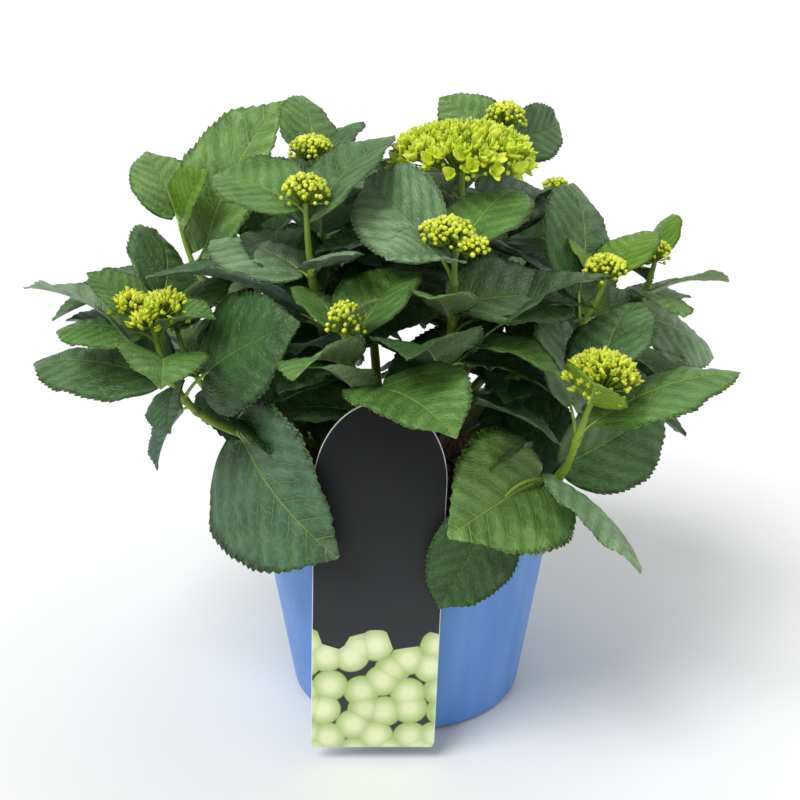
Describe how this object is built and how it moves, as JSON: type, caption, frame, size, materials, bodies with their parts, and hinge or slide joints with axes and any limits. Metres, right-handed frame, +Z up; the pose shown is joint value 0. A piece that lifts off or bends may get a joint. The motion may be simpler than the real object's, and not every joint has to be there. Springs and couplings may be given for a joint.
{
  "type": "potted hydrangea shrub",
  "caption": "Young hydrangea shrub with broad toothed leaves and flat heads of green buds, in a round tapered plastic pot with a hang tag.",
  "frame": {"origin": "middle of the pot's flat underside, level with what it stands on", "axes": "+Z up along the pot's axis; -Y is the front, the side with the hang tag; +X to the right as seen from the front"},
  "size_m": [0.5094, 0.407, 0.4197],
  "materials": {
    "blue_polypropylene": "satin moulded",
    "peat": "crumbly, moist",
    "old_wood": "thin brown bark",
    "green_stem": "smooth green bark with dark flecks",
    "foliage": "satin leaf",
    "black_sheet": "satin printed sheet",
    "tie_band": "smooth"
  },
  "bodies": {
    "root": {"pot": "blue_polypropylene", "soil": "peat", "woody_stem_left": "old_wood", "woody_stem_right": "old_wood", "woody_stem_back_left": "old_wood", "woody_stem_front": "old_wood", "woody_stem_back_right": "old_wood", "bough_left": "green_stem", "bough_centre_left": "green_stem", "bough_right_low": "green_stem", "bough_centre": "green_stem", "bough_upper_left_front": "green_stem", "bough_crown": "green_stem", "bough_right_high": "green_stem", "bough_left_tip": "green_stem", "bough_upper_left": "green_stem", "bough_crown_back": "green_stem", "bough_right_back": "green_stem", "bough_back_right": "green_stem", "bough_rear_left": "green_stem", "bough_rear": "green_stem", "bough_rear_right": "green_stem", "bough_rear_far_right": "green_stem", "bough_rear_far_left": "green_stem", "foliage_left": "foliage", "foliage_centre_left": "foliage", "foliage_right_low": "foliage", "foliage_centre": "foliage", "foliage_upper_left_front": "foliage", "foliage_crown": "foliage", "foliage_right_high": "foliage", "foliage_left_tip": "foliage", "foliage_upper_left": "foliage", "foliage_crown_back": "foliage", "foliage_right_back": "foliage", "foliage_back_right": "foliage", "foliage_rear_left": "foliage", "foliage_rear": "foliage", "foliage_rear_right": "foliage", "foliage_rear_far_right": "foliage", "foliage_rear_far_left": "foliage", "hang_tag": "black_sheet", "tag_tie": "tie_band"}
  },
  "joints": []
}
